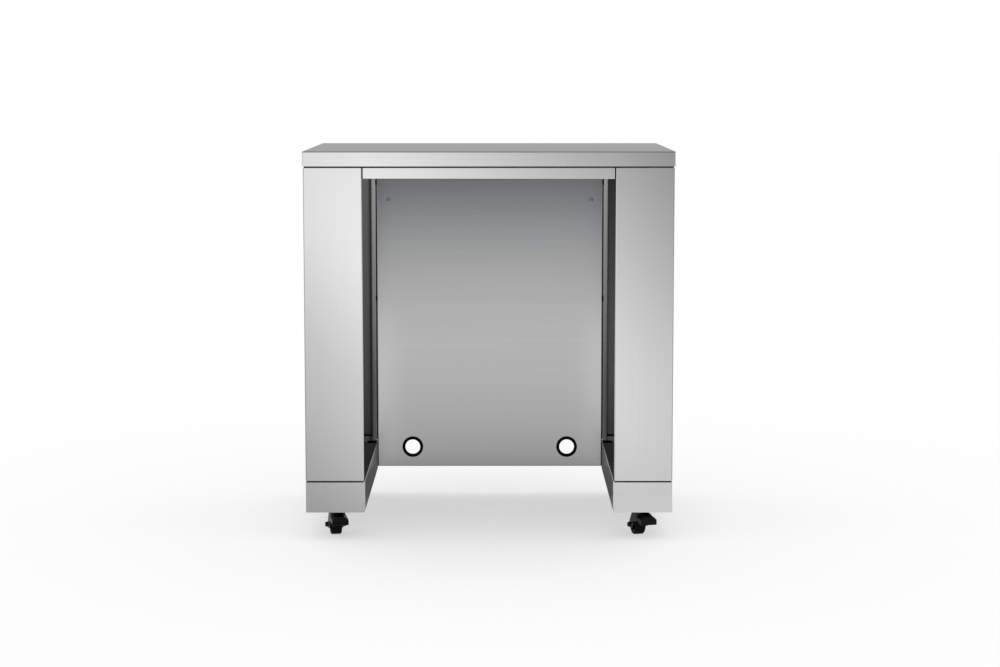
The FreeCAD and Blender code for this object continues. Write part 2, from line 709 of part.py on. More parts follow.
def back_panel():
    spans = [(f"-{BACK_EDGE}", BACK_EDGE), (BACK_FACE, REAR), (BACK_BOTTOM, PANEL_TOP)]
    folded = tray("back_panel", spans, "+y", "panel_sheet", "panel_bend")
    holes = []
    for side in SIDES:
        centre = (on_side(side, GROMMET_X), BACK_FACE, GROMMET_Z)
        holes.append(hole(f"back_panel_grommet_{side}", centre, (0, 1, 0), "grommet_hole / 2"))
        centre = (on_side(side, TIE_SCREW_X), BACK_FACE, TIE_SCREW_Z)
        holes.append(hole(f"back_panel_tie_{side}", centre, (0, 1, 0), SCREW_HOLE))
        for spot, z in BACK_FIXINGS.items():
            centre = (on_side(side, BACK_EDGE), END_BOLT_Y, z)
            holes.append(hole(f"back_panel_{side}_{spot}", centre, (1, 0, 0), BOLT_HOLE))
    finish(cut("back_panel", folded, holes), "back_panel")


def back_stiffener():
    """A hat section behind the back panel, with the tie screws through its upper foot."""
    end = f"({BACK_EDGE} - panel_sheet - seam)"
    centre = f"({TIE_SCREW_Z} - tie_foot / 2 - tie_crown / 2)"
    foot_plane = f"({BACK_FACE} + panel_sheet)"
    crown_plane = f"({foot_plane} + tie_depth)"
    hat = hat_channel("back_stiffener", "xzy", (f"-{end}", end), centre, foot_plane, crown_plane, True,
                      "tie_crown", "tie_foot", "panel_sheet")
    holes = [hole(f"back_stiffener_{side}", (on_side(side, TIE_SCREW_X), foot_plane, TIE_SCREW_Z), (0, 1, 0),
                  SCREW_HOLE)
             for side in SIDES]
    finish(cut("back_stiffener", hat, holes), "back_stiffener")


def tie_screws():
    """Two domed screws through the back panel into its stiffener."""
    screws = []
    for side in SIDES:
        body = doc.addObject("PartDesign::Body", f"tie_screw_{side}")
        tip = "2 * panel_sheet + screw_grip"
        outline = [("0", "-dome_height"), (DOME, "-dome_height"), (DOME, "0"), ("screw_radius", "0"),
                   ("screw_radius", tip), ("0", tip)]
        turned = revolve(body, polygon(new_sketch(body, "XY_Plane"), outline), "V_Axis")

        def rim(edge):
            on_face = edge.CenterOfMass.y < -0.01
            return is_round(edge) and on_face and edge.Curve.Radius > value("screw_radius")

        soften(body, turned, "dome_height * 0.9", rim)
        turn_about_z(body, (on_side(side, TIE_SCREW_X), BACK_FACE, TIE_SCREW_Z), "0")
        screws.append(body)
    finish(together("tie_screws", screws), "tie_screws")


def back_panel_bolts_and_spacers():
    bolts, spacers = [], []
    for side, sign in SIDES.items():
        for spot, z in BACK_FIXINGS.items():
            seat = (on_side(side, f"({INNER} + panel_sheet)"), END_BOLT_Y, z)
            grip = "(2 * panel_sheet + back_gap)"
            bolts += bolt_and_nut(f"back_panel_{side}_{spot}", seat, (sign, 0, 0), grip)
            spacers.append(tube(f"back_panel_spacer_{side}_{spot}", (on_side(side, BACK_EDGE), END_BOLT_Y, z),
                                (sign, 0, 0), "back_spacer_radius", BOLT_HOLE, "back_gap"))
    finish(together("back_panel_bolts", bolts), "back_panel_bolts")
    finish(together("back_panel_spacers", spacers), "back_panel_spacers")


def grommet(side):
    """A soft ring with a groove that snaps over the edge of its hole in the back panel."""
    name = f"{side}_grommet"
    body = doc.addObject("PartDesign::Body", name)
    bore = "(grommet_hole / 2 - grommet_wall)"
    flange = "(grommet_hole / 2 + grommet_lap)"
    neck = "(grommet_hole / 2 - hole_clearance)"
    outline = [(bore, "-grommet_rim"), (flange, "-grommet_rim"), (flange, "0"), (neck, "0"),
               (neck, "panel_sheet"), (flange, "panel_sheet"), (flange, "panel_sheet + grommet_rim"),
               (bore, "panel_sheet + grommet_rim")]
    turned = revolve(body, polygon(new_sketch(body, "XY_Plane"), outline), "V_Axis")
    ends = (value("-grommet_rim"), value("panel_sheet + grommet_rim"))

    def outer_rim(edge):
        at_end = min(abs(edge.CenterOfMass.y - end) for end in ends) < 0.01
        return is_round(edge) and at_end and edge.Curve.Radius > value(neck)

    soften(body, turned, "grommet_rim / 2", outer_rim)
    turn_about_z(body, (on_side(side, GROMMET_X), BACK_FACE, GROMMET_Z), "0")
    finish(body, name)


# Casters: each is drawn round its own kingpin, with the wheel trailing towards its own +Y

def kingpin(end, side):
    return on_side(side, BASE_MIDDLE), f"({ENDS[end]} * ({REAR} - caster_inset))"


def caster_bolt_places(end, side):
    x, y = kingpin(end, side)
    places = []
    for i, step_x in enumerate((-1, 1)):
        for j, step_y in enumerate((-1, 1)):
            places.append((f"{end}_{i}{j}", (f"{x} + {step_x} * plate_bolt_spacing / 2",
                                             f"{y} + {step_y} * plate_bolt_spacing / 2")))
    return places


def caster_bolts():
    bolts = []
    for end in ENDS:
        for side in SIDES:
            for i, (x, y) in caster_bolt_places(end, side):
                seat = (x, y, PLATE_BOTTOM)
                bolts += bolt_and_nut(f"caster_{side}_{i}", seat, (0, 0, -1),
                                      "(plate_thickness + base_plate_thickness)")
    finish(together("caster_bolts", bolts), "caster_bolts")


def caster_plate(end, side):
    """A mounting plate with the upper ball race and the kingpin."""
    name = f"{end}_{side}_caster_plate"
    x, y = kingpin(end, side)
    half = "plate_width / 2"
    plate = block(f"{name}_plate", (f"{x} - {half}", f"{x} + {half}"), (f"{y} - {half}", f"{y} + {half}"),
                  (PLATE_BOTTOM, CASTER_TOP))
    dish = rod(f"{name}_dish", (x, y, f"{BALL_Z} + race_gap / 2"), (0, 0, 1), "race_radius + race_wall",
               "race_drop - race_gap / 2 + plate_thickness / 2")
    head_bottom = f"({CROWN_BOTTOM} - end_play - kingpin_head_height)"
    shank = rod(f"{name}_shank", (x, y, head_bottom), (0, 0, 1), "kingpin_radius",
                f"{PLATE_BOTTOM} - {head_bottom}")
    head = rod(f"{name}_head", (x, y, head_bottom), (0, 0, 1), "kingpin_radius + kingpin_head_lap",
               "kingpin_head_height")
    race = doc.addObject("Part::Torus", f"{name}_race")
    bind(race, "Radius1", "race_radius")
    bind(race, "Radius2", "ball_radius + running_clearance")
    place(race, (x, y, BALL_Z))
    holes = [hole(f"{name}_hole_{i}", (bolt_x, bolt_y, f"{PLATE_BOTTOM} + plate_thickness / 2"), (0, 0, 1),
                  BOLT_HOLE, "plate_thickness")
             for i, (bolt_x, bolt_y) in caster_bolt_places(end, side)]
    finish(cut(name, fuse(f"{name}_solid", [plate, dish, shank, head]), [race] + holes), name)


def swivel_bearing(end, side):
    """The ring of balls between the caster plate and the fork."""
    name = f"{end}_{side}_swivel_bearing"
    x, y = kingpin(end, side)
    balls = []
    for i in range(BALLS_PER_RACE):
        turn = 360 * i / BALLS_PER_RACE
        ball = doc.addObject("Part::Sphere", f"{name}_ball")
        bind(ball, "Radius", "ball_radius")
        at = (f"{x} + race_radius * cos({turn})", f"{y} + race_radius * sin({turn})", BALL_Z)
        balls.append(place(ball, at))
    finish(together(name, balls), name)


def caster_fork(end, side, has_brake):
    """Two cheeks under a crown with the lower ball race, reaching forward to ears for a pedal pin."""
    name = f"{end}_{side}_fork"
    body = doc.addObject("PartDesign::Body", name)
    lead, width = f"(-pivot_lead - {EAR})", "(fork_gap + 2 * fork_sheet)"
    boss_front, boss_rear = f"(trail - {BOSS})", f"(trail + {BOSS})"
    boss_low, boss_high = f"({AXLE_Z} - {BOSS})", f"({AXLE_Z} + {BOSS})"
    cheek = [(lead, CROWN_TOP), ("fork_tail", CROWN_TOP), (boss_rear, boss_high), (boss_rear, boss_low),
             (boss_front, boss_low), (boss_front, boss_high), (lead, f"{PIVOT_Z} - {EAR}")]
    profile = extrude(body, "Pad", polygon(new_sketch(body, "YZ_Plane"), cheek), width, midplane=True)
    rounded_corners = cheek[2:5] + cheek[6:]

    def cheek_corner(edge):
        middle = edge.CenterOfMass
        return any(abs(middle.y - value(y)) + abs(middle.z - value(z)) < 0.01 for y, z in rounded_corners)

    soften(body, profile, f"{BOSS} * 0.7", cheek_corner)
    half = "fork_gap / 2"
    gap = [(f"-{half}", "0"), (half, "0"), (half, CROWN_BOTTOM), (f"-{half}", CROWN_BOTTOM)]
    extrude(body, "Pocket", polygon(new_sketch(body, "XZ_Plane"), gap), f"4 * ({boss_rear} - {lead})",
            midplane=True)
    ring = circle(new_sketch(body, "XY_Plane", CROWN_TOP), ("0", "0"), "race_radius + ring_wall")
    extrude(body, "Pad", ring, "ring_drop - race_gap / 2")
    race = body.newObject("PartDesign::SubtractiveTorus", f"{name}_race")
    bind(race, "Radius1", "race_radius")
    bind(race, "Radius2", "ball_radius + running_clearance")
    bind(race, "Placement.Base.z", BALL_Z)
    bore = circle(new_sketch(body, "XY_Plane", CROWN_TOP), ("0", "0"), "kingpin_radius + running_clearance")
    extrude(body, "Pocket", bore, "4 * (ring_drop + fork_sheet)", midplane=True)
    axle_hole = circle(new_sketch(body, "YZ_Plane"), ("trail", AXLE_Z), "axle_radius + hole_clearance")
    extrude(body, "Pocket", axle_hole, f"2 * {width}", midplane=True)
    if has_brake:
        pivot = ("-pivot_lead", PIVOT_Z)
        pin_hole = circle(new_sketch(body, "YZ_Plane"), pivot, "pin_radius + hole_clearance")
        extrude(body, "Pocket", pin_hole, f"2 * {width}", midplane=True)
    turn_about_z(body, (*kingpin(end, side), "0"), f"{end}_{side}_yaw")
    finish(body, name)


def cross_pin(name, radius, head_radius, head_height, end, side, forward, height):
    """A headed pin across a fork, forward of its kingpin."""
    body = doc.addObject("PartDesign::Body", name)
    inner = "(fork_gap / 2 + fork_sheet)"
    outer = f"({inner} + {head_height})"
    half = [(inner, radius), (inner, head_radius), (outer, head_radius), (outer, "0")]
    outline = half + [(f"-{x}", r) for x, r in reversed(half)]
    turned = revolve(body, polygon(new_sketch(body, "XY_Plane"), outline), "H_Axis")

    def outer_rim(edge):
        return is_round(edge) and abs(abs(edge.CenterOfMass.x) - value(outer)) < 0.01

    soften(body, turned, f"{head_height} * 0.4", outer_rim)
    place_on_fork(body, end, side, forward, height)
    finish(body, name)


def place_on_fork(body, end, side, forward, height):
    """Put a body's own origin forward of a kingpin by a formula, turned with its fork."""
    x, y = kingpin(end, side)
    yaw = f"{end}_{side}_yaw"
    turn_about_z(body, (f"{x} + ({forward}) * sin({yaw})", f"{y} - ({forward}) * cos({yaw})", height), yaw)


def wheel_and_tyre(end, side):
    """A ribbed hub that turns on the axle, and the soft tyre round its rim."""
    name = f"{end}_{side}_wheel"
    body = doc.addObject("PartDesign::Body", name)
    rim = "(wheel_diameter / 2 - tyre_thickness)"
    rim_inner = f"({rim} - rim_thickness)"
    bore = "(axle_radius + running_clearance)"
    hub = "(axle_radius + hub_wall)"
    hub_half, web_half = "(fork_gap / 2 - end_play)", "(web_thickness / 2)"
    rim_half = "(wheel_width / 2 - rim_inset)"
    outline = [(hub_half, bore), (hub_half, hub), (web_half, hub), (web_half, rim_inner),
               (rim_half, rim_inner), (rim_half, rim)]
    mirrored = [(f"-{x}", r) for x, r in reversed(outline)]
    revolve(body, polygon(new_sketch(body, "XY_Plane"), outline + mirrored), "H_Axis")
    place_on_fork(body, end, side, "-trail", AXLE_Z)
    finish(body, name)

    name = f"{end}_{side}_tyre"
    body = doc.addObject("PartDesign::Body", name)
    half, tread = "(wheel_width / 2)", "(wheel_diameter / 2)"
    section = [(half, rim), (half, tread), (f"-{half}", tread), (f"-{half}", rim)]
    turned = revolve(body, polygon(new_sketch(body, "XY_Plane"), section), "H_Axis")

    def shoulder(edge):
        return is_round(edge) and abs(edge.Curve.Radius - value(tread)) < 0.01

    soften(body, turned, "tyre_shoulder", shoulder)
    place_on_fork(body, end, side, "-trail", AXLE_Z)
    finish(body, name)


def brake_pedal(end, side):
    """A toe paddle that turns on its pin and swings a shoe against the tyre."""
    name = f"{end}_{side}_pedal"
    body = doc.addObject("PartDesign::Body", name)
    inner_width = "(fork_gap - 2 * pedal_play)"
    crest = f"({PLATE_BOTTOM} - bolt_head_height - pedal_clearance)"

    def paddle_section(distance, top, sole):
        low, high = "pedal_width / 2", "pedal_crest / 2"
        shoulder = f"{top} - pedal_shoulder"
        corners = [(f"-{low}", sole), (low, sole), (low, shoulder), (high, top), (f"-{high}", top),
                   (f"-{low}", shoulder)]
        return polygon(new_sketch(body, "XZ_Plane", distance), corners)

    paddle = body.newObject("PartDesign::AdditiveLoft", f"{name}_paddle")
    paddle.Profile = paddle_section(PEDAL_ROOT, crest, f"({PIVOT_Z} - pedal_drop)")
    tip_top = f"({crest} - pedal_slope)"
    tip_sole = f"({tip_top} - pedal_shoulder - pedal_side)"
    paddle.Sections = [paddle_section(PEDAL_TIP, tip_top, tip_sole)]
    paddle.Ruled = True

    def outside_root(edge):
        return edge.CenterOfMass.y < -value(PEDAL_ROOT) - 0.01

    soften(body, paddle, "pedal_round", outside_root)
    neck_end = f"-{PEDAL_ROOT} - pedal_play"
    neck_low, neck_high = f"{PIVOT_Z} - {PEDAL_HUB}", f"{PIVOT_Z} + {PEDAL_HUB}"
    neck = [(neck_end, neck_low), ("-pivot_lead", neck_low), ("-pivot_lead", neck_high),
            (neck_end, neck_high)]
    extrude(body, "Pad", polygon(new_sketch(body, "YZ_Plane"), neck), inner_width, midplane=True)
    pivot = ("-pivot_lead", PIVOT_Z)
    extrude(body, "Pad", circle(new_sketch(body, "YZ_Plane"), pivot, PEDAL_HUB), inner_width, midplane=True)

    # The pressed shoe lies a clearance off the tyre, and the resting shoe is the pedal's travel back
    away, above = "(trail + pivot_lead)", f"({PIVOT_Z} - {AXLE_Z})"
    span = f"sqrt({away}^2 + {above}^2)"
    contact = "(wheel_diameter / 2 + shoe_clearance + shoe_radius)"
    arm = f"({span} * cos(shoe_lead) - sqrt({contact}^2 - ({span} * sin(shoe_lead))^2))"
    swing = "(shoe_lead + pedal_travel)"
    toward_y = f"(({away} * cos({swing}) - {above} * sin({swing})) / {span})"
    toward_z = f"(-({above} * cos({swing}) + {away} * sin({swing})) / {span})"
    shoe = (f"-pivot_lead + {arm} * {toward_y}", f"{PIVOT_Z} + {arm} * {toward_z}")

    def beside(point, way):
        y, z = point
        return f"{y} - {way} * shoe_radius * {toward_z}", f"{z} + {way} * shoe_radius * {toward_y}"

    bar = [beside(pivot, 1), beside(pivot, -1), beside(shoe, -1), beside(shoe, 1)]
    extrude(body, "Pad", polygon(new_sketch(body, "YZ_Plane"), bar), "shoe_width", midplane=True)
    shoe_round = circle(new_sketch(body, "YZ_Plane"), shoe, "shoe_radius")
    extrude(body, "Pad", shoe_round, "shoe_width", midplane=True)
    pin_hole = circle(new_sketch(body, "YZ_Plane"), pivot, "pin_radius + running_clearance")
    extrude(body, "Pocket", pin_hole, "2 * fork_gap", midplane=True)
    turn_about_z(body, (*kingpin(end, side), "0"), f"{end}_{side}_yaw")
    finish(body, name)
    cross_pin(f"{end}_{side}_pedal_pin", "pin_radius", "(pin_radius + pin_head_lap)", "pin_head_height",
              end, side, "pivot_lead", PIVOT_Z)


def caster(end, side):
    has_brake = end == "front"
    caster_plate(end, side)
    swivel_bearing(end, side)
    caster_fork(end, side, has_brake)
    cross_pin(f"{end}_{side}_axle", "axle_radius", "(axle_radius + axle_head_lap)", "axle_head_height",
              end, side, "-trail", AXLE_Z)
    wheel_and_tyre(end, side)
    if has_brake:
        brake_pedal(end, side)


countertop()
counter_stiffener()
counter_screws()
header_rail()
header_screws()
panel_screws()
pillar_bolts_and_spacers()
back_panel()
back_stiffener()
tie_screws()
back_panel_bolts_and_spacers()
caster_bolts()
for side in SIDES:
    counter_support(side)
    header_bracket(side)
    for end in ENDS:
        end_panel(side, end)
    side_panel(side)
    base_frame(side)
    plinth_skirt(side)
    base_plate(side)
    grommet(side)
    for end in ENDS:
        caster(end, side)
doc.recompute()

# Check every object and shape, then write one file for each sub-part
failed = [thing.Name for thing in doc.Objects if {"Invalid", "Error"} & set(thing.State)]
unsound = [part.Label for part in sub_parts if part.Shape.isNull() or not part.Shape.isValid()]
if failed or unsound:
    raise RuntimeError(f"failed objects {failed}, unsound shapes {unsound}")
os.makedirs("parts", exist_ok=True)
for part in sub_parts:
    part.Shape.exportStep(f"parts/{part.Label}.step")
    print(part.Label, len(part.Shape.Solids), round(part.Shape.Volume, 1))
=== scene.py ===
import json
import math
from collections import namedtuple

import bpy
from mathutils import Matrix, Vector

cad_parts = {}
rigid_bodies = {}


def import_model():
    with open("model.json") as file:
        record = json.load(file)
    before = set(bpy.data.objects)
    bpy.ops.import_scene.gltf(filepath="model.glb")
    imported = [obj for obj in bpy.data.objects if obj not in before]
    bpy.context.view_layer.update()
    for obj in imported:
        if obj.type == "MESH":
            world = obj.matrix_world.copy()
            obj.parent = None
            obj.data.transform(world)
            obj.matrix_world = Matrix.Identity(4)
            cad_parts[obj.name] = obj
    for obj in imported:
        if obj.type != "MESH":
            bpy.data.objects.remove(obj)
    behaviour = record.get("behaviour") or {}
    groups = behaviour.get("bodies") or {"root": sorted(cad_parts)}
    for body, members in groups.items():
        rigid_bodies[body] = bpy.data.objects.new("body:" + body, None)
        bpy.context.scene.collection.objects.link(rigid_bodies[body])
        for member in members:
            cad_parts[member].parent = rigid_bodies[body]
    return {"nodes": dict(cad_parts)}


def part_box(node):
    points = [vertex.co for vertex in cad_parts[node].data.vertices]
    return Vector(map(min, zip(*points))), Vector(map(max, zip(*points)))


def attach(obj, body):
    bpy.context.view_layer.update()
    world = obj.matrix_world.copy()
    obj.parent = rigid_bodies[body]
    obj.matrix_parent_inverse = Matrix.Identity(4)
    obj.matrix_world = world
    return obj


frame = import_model()
for start_object in [o for o in bpy.data.objects if o.name in ("Cube", "Light", "Camera")]:
    bpy.data.objects.remove(start_object)
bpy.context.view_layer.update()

NODES = frame["nodes"]
SIDES = {"left": -1.0, "right": 1.0}
CASTERS = ("front_left", "front_right", "rear_left", "rear_right")
MM = 0.001
ALONG_X = (1.0, 0.0, 0.0)
ALONG_Y = (0.0, 1.0, 0.0)
ALONG_Z = (0.0, 0.0, 1.0)

# Where most values of a noise texture lie
NOISE_RANGE = (0.3, 0.7)


# Node helpers
def new_material(name):
    material = bpy.data.materials.new(name)
    material.use_nodes = True
    tree = material.node_tree
    shader = next(n for n in tree.nodes if n.type == "BSDF_PRINCIPLED")
    return material, tree, shader


def add_node(tree, kind, **settings):
    node = tree.nodes.new(kind)
    for name, value in settings.items():
        setattr(node, name, value)
    return node


def feed(tree, value, socket):
    """Gives a socket its value, which is a constant or another socket."""
    if isinstance(value, bpy.types.NodeSocket):
        tree.links.new(value, socket)
    else:
        socket.default_value = value


def feed_all(tree, node, values):
    for name, value in values.items():
        feed(tree, value, node.inputs[name])


def number(tree, operation, first, second):
    node = add_node(tree, "ShaderNodeMath", operation=operation)
    feed(tree, first, node.inputs[0])
    feed(tree, second, node.inputs[1])
    return node.outputs["Value"]


def vector(tree, operation, first, second):
    node = add_node(tree, "ShaderNodeVectorMath", operation=operation)
    feed(tree, first, node.inputs[0])
    feed(tree, second, node.inputs[1])
    return node.outputs["Value" if operation == "DOT_PRODUCT" else "Vector"]


def grey(value):
    return (value, value, value, 1.0)


def object_place(tree):
    return add_node(tree, "ShaderNodeTexCoord").outputs["Object"]


def noise(tree, place, cells, detail=2.0, roughness=0.5):
    """Noise with so many cells per metre, as one number or one for each axis."""
    mapping = add_node(tree, "ShaderNodeMapping")
    scale = (cells, cells, cells) if isinstance(cells, float) else cells
    feed_all(tree, mapping, {"Vector": place, "Scale": scale})
    texture = add_node(tree, "ShaderNodeTexNoise")
    where = mapping.outputs["Vector"]
    feed_all(tree, texture, {"Vector": where, "Scale": 1.0, "Detail": detail, "Roughness": roughness})
    return texture.outputs["Fac"]


def remap(tree, value, low, high, span=NOISE_RANGE):
    node = add_node(tree, "ShaderNodeMapRange")
    start, end = span
    feed_all(tree, node, {"Value": value, "From Min": start, "From Max": end, "To Min": low, "To Max": high})
    return node.outputs["Result"]


def ramp_colour(tree, value, dark, light, span=NOISE_RANGE):
    ramp = add_node(tree, "ShaderNodeValToRGB")
    for stop, position, tone in zip(ramp.color_ramp.elements, span, (dark, light)):
        stop.position = position
        stop.color = tone
    feed(tree, value, ramp.inputs["Fac"])
    return ramp.outputs["Color"]


def mixed(tree, first, second, share, data_type="FLOAT"):
    """Two numbers mixed, or two colours when the type is RGBA."""
    node = add_node(tree, "ShaderNodeMix", data_type=data_type)
    feed_all(tree, node, {"Factor": share, "A": first, "B": second})
    return node.outputs["Result"]


def bumped(tree, shader, height, strength, depth):
    bump = add_node(tree, "ShaderNodeBump")
    feed_all(tree, bump, {"Height": height, "Strength": strength, "Distance": depth})
    feed(tree, bump.outputs["Normal"], shader.inputs["Normal"])


# Mesh helpers
def mesh_object(name, points, faces):
    mesh = bpy.data.meshes.new(name)
    mesh.from_pydata(points, [], faces)
    piece = bpy.data.objects.new(name, mesh)
    bpy.context.scene.collection.objects.link(piece)
    return piece


def rectangle(name, across, along, up):
    """A flat piece from its spans in X, Y and Z, one of which has equal ends."""
    spans = (across, along, up)
    first, second = [axis for axis, span in enumerate(spans) if span[0] != span[1]]
    corners = []
    for a, b in ((0, 0), (1, 0), (1, 1), (0, 1)):
        corner = [span[0] for span in spans]
        corner[first] = spans[first][a]
        corner[second] = spans[second][b]
        corners.append(corner)
    return mesh_object(name, corners, [(0, 1, 2, 3)])


# Stainless sheet: linear tones, noise cells per metre along and across the grain, and shares in mixed noises
STEEL_TONE = 0.765
STEEL_ROUGHNESS = (0.185, 0.235)
STEEL_ANISOTROPY = 0.5
STEEL_BUMP_DEPTH = 0.2 * MM
# Tones of the plain side, darker than the brushed side: partly its mill finish and partly painted shade of
# the inside
MILL_SHADED_DARK = (0.395, 0.398, 0.400, 1.0)
MILL_SHADED_LIGHT = (0.455, 0.458, 0.460, 1.0)
MILL_ROUGHNESS = (0.15, 0.20)
STREAK_CELLS_ALONG = 1.6
STREAK_NOISE = {"detail": 4.0, "roughness": 0.6}
SCRATCH_CELLS = (6.0, 1400.0)
SCRATCH_SHARE = 0.45
SMUDGE_NOISE = {"cells": 4.0, "detail": 3.0}
SMUDGE_SHARE = 0.4

# Streak cells per metre across the grain, spread of tone and strength of bump for each direction of brushing
Brushing = namedtuple("Brushing", "streak_cells spread bump")
BRUSHING = {
    ALONG_X: Brushing(streak_cells=110.0, spread=0.022, bump=0.05),
    ALONG_Y: Brushing(streak_cells=190.0, spread=0.030, bump=0.05),
    ALONG_Z: Brushing(streak_cells=260.0, spread=0.014, bump=0.03),
}

# Keeps the tangent from vanishing on faces that the grain runs into
TANGENT_NUDGE = (0.0011, 0.0013, 0.0017)

# Painted shade on bends: the tone that is left on a bend, and the range over which it darkens, of its lean
# less the square
BEND_SHADE_TONE = 0.55
BEND_SHADE_RANGE = (0.02, 0.12)


def grain_tangent(tree, grain):
    """The direction across the grain on every face, in which a brushed surface spreads its reflections."""
    normal = add_node(tree, "ShaderNodeNewGeometry").outputs["Normal"]
    return vector(tree, "ADD", vector(tree, "CROSS_PRODUCT", normal, grain), TANGENT_NUDGE)


def stretched(grain, along, across):
    return [across + g * (along - across) for g in grain]


def painted_bend_shade(tree, colour, normal, way):
    """The colour darkened by painted shade where the sheet bends over to face a way, and kept on its flat
    sides.
    """
    lean = vector(tree, "DOT_PRODUCT", normal, way)
    bend = number(tree, "SUBTRACT", lean, number(tree, "MULTIPLY", lean, lean))
    return vector(tree, "MULTIPLY", colour, remap(tree, bend, 1.0, BEND_SHADE_TONE, BEND_SHADE_RANGE))


def brushed_steel(name, grain, middle, shaded_bend_way):
    """Sheet brushed along its grain on the side away from a middle point, and plain on the other, whose
    darker tone is partly its mill finish and partly painted shade.
    """
    material, tree, shader = new_material(name)
    coordinates = add_node(tree, "ShaderNodeTexCoord").outputs
    place = coordinates["Object"]
    normal = coordinates["Normal"]
    facing = vector(tree, "DOT_PRODUCT", vector(tree, "SUBTRACT", place, middle), normal)
    brushed = number(tree, "GREATER_THAN", facing, 0.0)

    brushing = BRUSHING[grain]
    streak_cells = stretched(grain, STREAK_CELLS_ALONG, brushing.streak_cells)
    streaks = noise(tree, place, streak_cells, **STREAK_NOISE)
    scratches = noise(tree, place, stretched(grain, *SCRATCH_CELLS))
    smudges = noise(tree, place, **SMUDGE_NOISE)
    lines = mixed(tree, streaks, scratches, SCRATCH_SHARE)
    spread = brushing.spread
    outside = ramp_colour(tree, lines, grey(STEEL_TONE - spread), grey(STEEL_TONE + spread))
    # Painted shade darkens the bends that face the given way
    if shaded_bend_way:
        outside = painted_bend_shade(tree, outside, normal, shaded_bend_way)
    # The plain side's darker tone is partly its mill finish and partly painted shade of the inside
    inside = ramp_colour(tree, smudges, MILL_SHADED_DARK, MILL_SHADED_LIGHT)
    rough_outside = remap(tree, mixed(tree, lines, smudges, SMUDGE_SHARE), *STEEL_ROUGHNESS)
    rough_inside = remap(tree, smudges, *MILL_ROUGHNESS)
    feed_all(tree, shader, {
        "Base Color": mixed(tree, inside, outside, brushed, "RGBA"),
        "Roughness": mixed(tree, rough_inside, rough_outside, brushed),
        "Tangent": grain_tangent(tree, grain),
        "Metallic": 1.0,
        "Anisotropic": STEEL_ANISOTROPY,
    })
    bumped(tree, shader, lines, brushing.bump, STEEL_BUMP_DEPTH)
    return material


# Plain rolled steel of the pieces inside, in the same darker tone, partly its finish and partly painted
# shade
MILL_NOISE = {"cells": 14.0, "detail": 4.0}
MILL_PITS = {"cells": 700.0}
MILL_BUMP = {"strength": 0.05, "depth": 0.2 * MM}


def mill_steel(name):
    material, tree, shader = new_material(name)
    place = object_place(tree)
    smudges = noise(tree, place, **MILL_NOISE)
    feed_all(tree, shader, {
        "Base Color": ramp_colour(tree, smudges, MILL_SHADED_DARK, MILL_SHADED_LIGHT),
        "Roughness": remap(tree, smudges, *MILL_ROUGHNESS),
        "Metallic": 1.0,
    })
    bumped(tree, shader, noise(tree, place, **MILL_PITS), **MILL_BUMP)
    return material


# Fasteners, of plated or stainless steel
PLATED_DARK = (0.50, 0.51, 0.53, 1.0)
PLATED_LIGHT = (0.66, 0.66, 0.65, 1.0)
PLATED_ROUGHNESS = (0.22, 0.38)
SATIN_DARK = (0.80, 0.80, 0.79, 1.0)
SATIN_LIGHT = (0.90, 0.90, 0.89, 1.0)
SATIN_ROUGHNESS = (0.48, 0.60)
FASTENER_NOISE = {"cells": 260.0, "detail": 3.0}
FASTENER_BUMP = {"strength": 0.08, "depth": 0.3 * MM}


def fastener_steel(name, dark, light, roughness):
    material, tree, shader = new_material(name)
    spangle = noise(tree, object_place(tree), **FASTENER_NOISE)
    feed_all(tree, shader, {
        "Base Color": ramp_colour(tree, spangle, dark, light),
        "Roughness": remap(tree, spangle, *roughness),
        "Metallic": 1.0,
    })
    bumped(tree, shader, spangle, **FASTENER_BUMP)
    return material


# Dark zinc-plated steel of the casters, lighter along its edges, partly wear and partly a painted highlight
ZINC_DARK = (0.050, 0.050, 0.053, 1.0)
ZINC_LIGHT = (0.095, 0.095, 0.098, 1.0)
ZINC_EDGE_WEAR_AND_HIGHLIGHT = (0.42, 0.42, 0.425, 1.0)
ZINC_ROUGHNESS = (0.30, 0.44)
ZINC_NOISE = {"cells": 420.0, "detail": 3.0}
ZINC_BUMP = {"strength": 0.06, "depth": 0.2 * MM}
WEAR_NOISE = {"cells": 60.0, "detail": 4.0}
WEAR_SHARE = 0.6

# Lighter edges, partly wear and partly a painted highlight: their width, the cosines between which they fade
# in, and how far the lightening covers them
EDGE_WIDTH = 1.3 * MM
EDGE_SAMPLES = 4
EDGE_RANGE = (0.80, 0.99)
EDGE_COVER = 0.85


def black_zinc(name):
    material, tree, shader = new_material(name)
    place = object_place(tree)
    spangle = noise(tree, place, **ZINC_NOISE)
    wear = noise(tree, place, **WEAR_NOISE)
    plating = ramp_colour(tree, mixed(tree, spangle, wear, WEAR_SHARE), ZINC_DARK, ZINC_LIGHT)
    rounded = add_node(tree, "ShaderNodeBevel", samples=EDGE_SAMPLES)
    feed(tree, EDGE_WIDTH, rounded.inputs["Radius"])
    normal = add_node(tree, "ShaderNodeNewGeometry").outputs["Normal"]
    turned = vector(tree, "DOT_PRODUCT", rounded.outputs["Normal"], normal)
    # Painted highlight along the edges, which also stands for wear
    edge = remap(tree, turned, EDGE_COVER, 0.0, EDGE_RANGE)
    feed_all(tree, shader, {
        "Base Color": mixed(tree, plating, ZINC_EDGE_WEAR_AND_HIGHLIGHT, edge, "RGBA"),
        "Roughness": remap(tree, wear, *ZINC_ROUGHNESS),
        "Metallic": 1.0,
    })
    bumped(tree, shader, spangle, **ZINC_BUMP)
    return material


# Black surfaces: rubber, moulded plastic and coated steel
PEBBLE_DETAIL = 3.0
PEBBLE_BUMP = 0.35
DUST_NOISE = {"cells": 55.0, "detail": 4.0}
DUST_SHARE = 0.6
DUST_RANGE = (0.35, 0.75)


